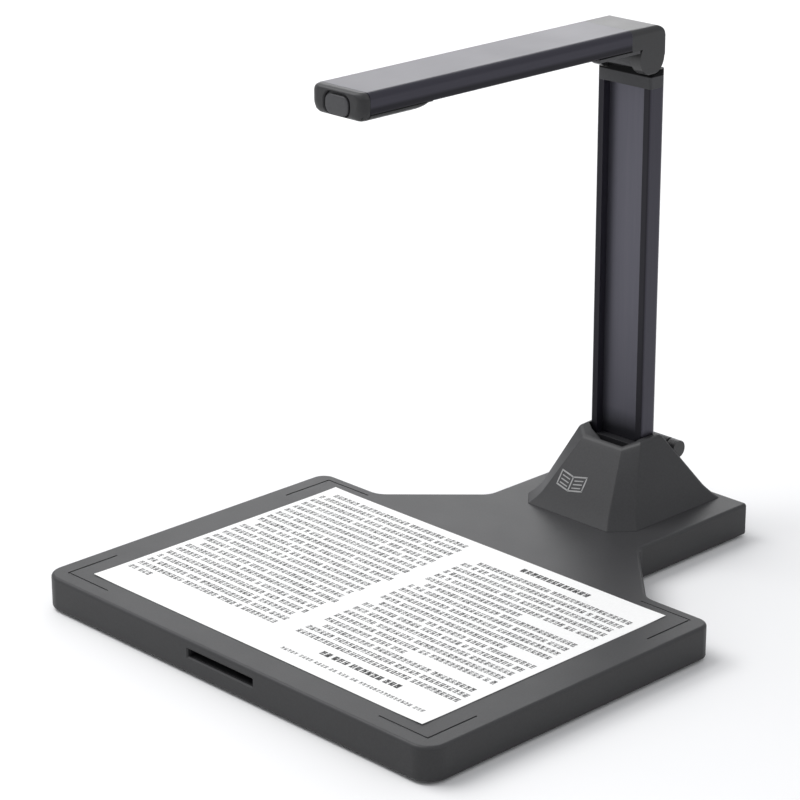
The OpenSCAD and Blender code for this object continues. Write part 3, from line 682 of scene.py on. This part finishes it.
def lens_parts(barrel_material, glass_material):
    """Stepped barrel with a groove round it, and its domed front glass and flat rear glass."""
    low, high = span("lens_barrel")
    y = (low.y + high.y) / 2
    r, z = high.x, low.z
    profile = [(r - 0.9, z), (r - 0.2, z), (r, z + 0.25), (r, z + 1.2), (r - 0.35, z + 1.35),
               (r - 0.35, z + 1.6), (r, z + 1.75), (r, high.z), (r - 2, high.z), (r - 2, z + 3.2),
               (r - 1.9, z + 1.25), (r - 1.55, z + 1.2), (r - 1.5, z + 0.9), (r - 1.2, z + 0.8),
               (r - 1.1, z + 0.4)]
    place(turned("lens_tube", profile, y), "arm", barrel_material,
          ["lens_barrel"])
    g_low, g_high = span("lens_glass")
    radius, tip, bulge = g_high.x, 0.02, 0.75
    front = [(tip, g_low.z - bulge)]
    for k in range(1, 9):
        f = k / 8
        front.append((radius * f, g_low.z - bulge * (1 - f * f)))
    front += [(radius, g_low.z + 2), (tip, g_low.z + 1.2)]
    rear = [(tip, g_high.z - 2.3), (radius, g_high.z - 2), (radius, g_high.z), (tip, g_high.z)]
    obj = loft("lens_elements", *([circle(r, h, y, 48) for r, h in glass] for glass in (front, rear)))
    place(obj, "arm", glass_material, ["lens_glass"])


# ------------------------------------------------------------------ screws

HEAD_R, HEAD_T = 2.8, 1.3
SHANK_R = 1.45


def screw_set(name, body, places, out, length, material, replaced):
    """Pan head screws with a cross recess; out is the direction that their heads face."""
    steps = [(0.05, HEAD_T), (HEAD_R * 0.45, HEAD_T * 0.97), (HEAD_R * 0.8, HEAD_T * 0.75),
             (HEAD_R * 0.96, HEAD_T * 0.42), (HEAD_R, HEAD_T * 0.2), (HEAD_R, 0),
             (SHANK_R, 0), (SHANK_R, -length + 0.8), (1.0, -length), (0.05, -length)]
    one = loft(name, [circle(r, h, segments=32) for r, h in steps])
    for turn in (0, 90):
        spin = Matrix.Rotation(math.radians(turn), 4, "Z")
        recess = []
        for half, z in ((0.12, HEAD_T * 0.15), (0.36, HEAD_T * 1.3)):
            wide = half * 4.2
            bar = [(-wide, -half), (wide, -half), (wide, half), (-wide, half)]
            recess.append([spin @ Vector((x, y, z)) for x, y in bar])
        carve(one, recess)
    aim = Vector((0, 0, 1)).rotation_difference(Vector(out)).to_matrix().to_4x4()
    bm = bmesh.new()
    for i, spot in enumerate(places):
        spin = Matrix.Rotation(math.radians(17 + 41 * i), 4, "Z")
        part = one.data.copy()
        part.transform(Matrix.Translation(Vector(spot) * MM) @ aim @ spin)
        bm.from_mesh(part)
        bpy.data.meshes.remove(part)
    bm.to_mesh(one.data)
    bm.free()
    return place(one, body, material, replaced)


def column_screws(material):
    seat = span("column_channel")[1].y
    low, high = span("column_screws")
    x = high.x - HEAD_R
    spots = [(s * x, seat, z) for s in (-1, 1) for z in (low.z + HEAD_R, high.z - HEAD_R)]
    screw_set("column_screw_set", "column", spots, (0, 1, 0), 8, material, ["column_screws"])


def base_screws(material):
    plate = span("base_plate")[0].z
    spots = [(s * x, y, plate) for x, y in ((158, -188), (158, 24), (56, 190), (80, -80))
             for s in (-1, 1)]
    screw_set("base_screw_set", "base", spots, (0, 0, -1), 10, material, ["base_screws"])


def elbow_screws(material):
    low, high = span("elbow_screws")
    spots = [(s * (high.x - HEAD_R), (low.y + high.y) / 2, low.z + HEAD_T) for s in (-1, 1)]
    screw_set("elbow_screw_set", "arm", spots, (0, 0, -1), high.z - low.z - 1.4, material,
              ["elbow_screws"])


# ------------------------------------------------------------------ page

# The paper's face lies this far under the top of the CAD's sheet, to leave room for its waves.
PAGE_SINK = 0.12


def page_height(x, y):
    """Slight waves of the sheet above the platform, and corners that rise a little more."""
    wave = 0.10 * math.sin(x / 41.0 + 0.6) * math.cos(y / 37.0) + 0.10
    centre_y, curl = -79, 0.35
    past_x, past_y = (abs(x) - 120) / 28.5, (abs(y - centre_y) - 80) / 25
    return wave + curl * max(0.0, past_x) ** 2 * max(0.0, past_y) ** 2


def page_paper(material):
    """Thin wavy sheet: two grids of faces, joined round the edge."""
    low, high = span("page_sheet")
    nx, ny = 60, 42
    bm = bmesh.new()

    def layer_at(z):
        columns = [low.x + (high.x - low.x) * i / nx for i in range(nx + 1)]
        rows = [low.y + (high.y - low.y) * j / ny for j in range(ny + 1)]
        return [[bm.verts.new((x, y, z + page_height(x, y))) for x in columns] for y in rows]

    bottom, top = layer_at(low.z), layer_at(high.z - PAGE_SINK)
    for layer in (bottom, top):
        for j in range(ny):
            for i in range(nx):
                bm.faces.new((layer[j][i], layer[j][i + 1], layer[j + 1][i + 1], layer[j + 1][i]))
    for j in range(ny):
        for i in (0, nx):
            bm.faces.new((bottom[j][i], bottom[j + 1][i], top[j + 1][i], top[j][i]))
    for i in range(nx):
        for j in (0, ny):
            bm.faces.new((bottom[j][i], bottom[j][i + 1], top[j][i + 1], top[j][i]))
    obj = add_object("page_paper", finish_mesh(bm, "page_paper"))
    return place(obj, "page", material, ["page_sheet"])


def dash(bm, x0, x1, y, height):
    """A flat bar of ink that follows the paper."""
    face = span("page_sheet")[1].z - PAGE_SINK
    y0, y1 = y - height / 2, y + height / 2
    corners = ((x0, y0), (x1, y0), (x1, y1), (x0, y1))
    skin(bm, [[(*corner, face + lift + page_height(*corner)) for corner in corners]
              for lift in (-0.04, 0.03)])


def glyph(bm, rng, x, y, wide, tall, weight):
    """A block of broken bars and a short tick: dense as print from afar, no letter close up."""
    step = (tall - weight) / 2
    for k in (-1, 0, 1):
        left, right = x + rng.uniform(0, 0.4), x + wide - rng.uniform(0, 0.4)
        bar = weight * rng.uniform(0.85, 1.2)
        if rng.random() < 0.4:
            split = x + wide * rng.uniform(0.3, 0.7)
            dash(bm, left, split - 0.2, y + k * step, bar)
            dash(bm, split + 0.2, right, y + k * step, bar)
        else:
            dash(bm, left, right, y + k * step, bar)
    centre = x + wide * rng.uniform(0.25, 0.75)
    side = rng.choice((-0.5, 0.5))
    dash(bm, centre - weight / 2, centre + weight / 2, y + side * step, step)


def print_line(bm, rng, x0, x1, y, wide=3.4, tall=4.5, weight=1.15):
    """A row of such blocks with a wider gap now and then."""
    x = x0
    while x + wide < x1:
        glyph(bm, rng, x, y, wide, tall, weight)
        x += wide + (0.5 if rng.random() < 0.9 else 2.2)


def page_print(material, bold_material):
    """Two blocks of print and a small line at the foot, then the two heavier lines."""
    rng = random.Random(7)
    bm = bmesh.new()
    pitch, left_rows, right_rows = 7.9, 23, 20
    for k in range(left_rows):
        indent = 6 if k in (0, 9, 15) else 0
        end = -9 if k < left_rows - 1 else -122
        print_line(bm, rng, -144 + indent, end, 15.6 - pitch * k)
    for k in range(right_rows):
        indent = 7 if k in (0, 6, 11, 17) else 0
        end = rng.uniform(70, 120) if k in (5, 10, 16) else 143
        print_line(bm, rng, 4.5 + indent, end, 2.0 - pitch * k)
    print_line(bm, rng, 16, 140, -171.8, wide=2.4, tall=3.0, weight=0.75)
    obj = add_object("page_print", finish_mesh(bm, "page_print"))
    place(obj, "page", material)
    bm = bmesh.new()
    for end, y in ((100, 14.2), (110, -159.6)):
        print_line(bm, rng, 38, end, y, wide=4.0, tall=5.0, weight=1.5)
    obj = add_object("page_headings", finish_mesh(bm, "page_headings"))
    place(obj, "page", bold_material)


# ------------------------------------------------------------------ dressing the CAD nodes

def slot_looks():
    """One material for each of the record's slots."""
    return {
        # painted shade: the dark shell's upright faces are painted darker than its flat faces
        "dark_shell": plastic("moulded_dark", colour(0.037, 0.037, 0.0385), sides=0.76),
        "light_cover": plastic("cover_plastic", colour(0.055, 0.055, 0.058), 0.42),
        "bottom_sheet": metal("coated_sheet", colour(0.035, 0.035, 0.037), 0.55, 0.0, 0.9, 0.05),
        "screw_steel": metal("zinc_steel", colour(0.52, 0.53, 0.55), 0.32),
        "foot_rubber": rubber("foot_rubber", colour(0.02, 0.02, 0.02)),
        "black_plastic": plastic("black_plastic", colour(0.018, 0.018, 0.02), 0.5, 0.4),
        "contact_brass": metal("contact_brass", colour(0.75, 0.52, 0.2), 0.25),
        "circuit_board": circuit("solder_mask"),
        "bright_steel": metal("ground_steel", colour(0.6, 0.6, 0.62), 0.25),
        "cable_rubber": rubber("cable_sheath", colour(0.015, 0.015, 0.016), 0.6),
        "cast_frame": metal("cast_paint", colour(0.022, 0.022, 0.023), 0.42, 0.0, 0.8, 0.05),
        "sensor": metal("sensor_die", colour(0.03, 0.04, 0.07), 0.12, 0.6),
        "barrel_metal": metal("black_anodised", colour(0.018, 0.018, 0.02), 0.4, 0.6, 0.4, 0.02),
        "lens": coated_glass("lens_coating"),
        "white_board": plastic("white_mask", colour(0.75, 0.75, 0.73), 0.35, wear=0.0),
        "lamp": plastic("lamp_phosphor", colour(0.8, 0.68, 0.25), 0.4, wear=0.0),
        "window": diffuser("window_diffuser"),
        "paper": paper("paper_stock"),
    }


def height_zone(base_mm, start, end, until=-1000):
    """Zone by height, given in millimetres over a base height."""
    return ("Object", "Z", *((base_mm + mm) * MM for mm in (start, end, until)))


def node_looks():
    """Materials of the nodes that differ from their slot: the extrusions with painted shade on their
    front faces, lower edge and foot, the glossy elbow, and painted shadow on the column head under
    it."""
    channel, strip = colour(0.050, 0.048, 0.062), colour(0.105, 0.103, 0.125)
    # painted shadow: a band of the column head in the gap under the elbow is painted nearly black
    gap = height_zone(span("column_channel")[1].z + 8, -0.5, 0, 6)
    # painted shade: the lower part of the arm channel's sides is painted darker
    painted_arm_edge_shade = height_zone(span("arm_channel")[0].z, 5.5, 3.5)
    # painted shade: the column strip is painted darker towards its foot, by the boot
    painted_strip_foot_shade = height_zone(span("column_strip")[0].z, 20, 6)
    # painted shade: the column channel's front-facing faces are painted darker
    painted_lip_shade = ("Normal", "Y", -0.5, -0.9, -2)
    return {
        "elbow": plastic("elbow_satin", colour(0.024, 0.024, 0.025), 0.37, gloss=0.45, wear=0.15),
        "column_head": plastic("column_head_plastic", colour(0.042, 0.042, 0.045), zone=gap),
        "column_channel": anodised("anodised_column", channel, "Z", zone=painted_lip_shade),
        "arm_channel": anodised("anodised_arm", channel, "Y", zone=painted_arm_edge_shade),
        "column_strip": anodised("satin_strip_column", strip, "Z", 0.42, zone=painted_strip_foot_shade),
        "arm_strip": anodised("satin_strip_arm", strip, "Y", 0.42),
    }


def dress_nodes(looks):
    """Gives every CAD node its material."""
    by_node = node_looks()
    slots = {part["node"]: part["material_slot"] for part in frame["record"]["subparts"]}
    for name, obj in NODES.items():
        look = by_node.get(name) or looks[slots[name]]
        for i in range(len(obj.material_slots)):
            obj.material_slots[i].material = look


# ------------------------------------------------------------------ stage, lights, camera

def stage():
    """Wide pale floor."""
    bpy.ops.mesh.primitive_plane_add(size=60)
    floor = bpy.context.object
    floor.name = "floor"
    floor.data.materials.append(floor_surface("pale_floor"))


def lamp(name, place_m, target, size, power):
    """Soft box of a size in metres and a power in watts, aimed at a point."""
    data = bpy.data.lights.new(name, "AREA")
    data.shape, data.size, data.size_y = "RECTANGLE", size[0], size[1]
    data.energy = power
    obj = add_object(name, data)
    obj.location = place_m
    aim = Vector(target) - Vector(place_m)
    obj.rotation_euler = aim.to_track_quat("-Z", "Y").to_euler()
    obj.visible_camera = False


def lights():
    """Even studio light, a key from the left, a weak fill, and a sheen on the arm's top."""
    world = bpy.data.worlds.new("studio")
    bpy.context.scene.world = world
    world.use_nodes = True
    back = world.node_tree.nodes["Background"]
    back.inputs["Color"].default_value = (0.96, 0.97, 1.0, 1)
    back.inputs["Strength"].default_value = 0.6
    middle = (0, 0, 0.12)
    lamp("key_softbox", (-1.3, -0.7, 2.4), middle, (2.0, 2.0), 58)
    lamp("fill_softbox", (2.4, 0.4, 1.9), middle, (1.4, 1.4), 7)
    lamp("sheen_softbox", (-1.6, 1.75, 0.95), (0, 0, 0.25), (1.8, 1.1), 12)
    bpy.context.scene.view_settings.view_transform = "Standard"


def camera():
    """Long lens from the front right; the three angles are in degrees."""
    heading, tilt, roll = 45.73, 69.90, -0.17
    data = bpy.data.cameras.new("camera")
    data.sensor_width, data.lens = 36, 127.5
    data.shift_x, data.shift_y = -0.0078, -0.0025
    data.clip_end = 100
    stand = Matrix.Translation((1.17455, -1.19607, 0.74826))
    for angle, axis in ((heading, "Z"), (tilt, "X"), (roll, "Z")):
        stand = stand @ Matrix.Rotation(math.radians(angle), 4, axis)
    obj = add_object("camera", data)
    obj.matrix_world = stand
    bpy.context.scene.camera = obj


looks = slot_looks()
dress_nodes(looks)
base_housing(looks["dark_shell"])
boot_housing(looks["dark_shell"])
boot_mark(ink("mark_ink", colour(0.24), colour(0.34)))
end_cap(looks["dark_shell"])
scan_key(looks["light_cover"])
head_pod(looks["dark_shell"])
lens_parts(looks["barrel_metal"], looks["lens"])
column_screws(looks["screw_steel"])
base_screws(looks["screw_steel"])
elbow_screws(looks["screw_steel"])
page_paper(looks["paper"])
page_print(ink("text_ink", colour(0.025), colour(0.25)),
           ink("heading_ink", colour(0.015), colour(0.07)))
for node, width in (("boot_frame", 0.8), ("elbow", 0.8), ("column_head", 0.4), ("elbow_cover", 0.5),
                    ("column_foot", 0.5)):
    soften(node, width)
stage()
lights()
camera()
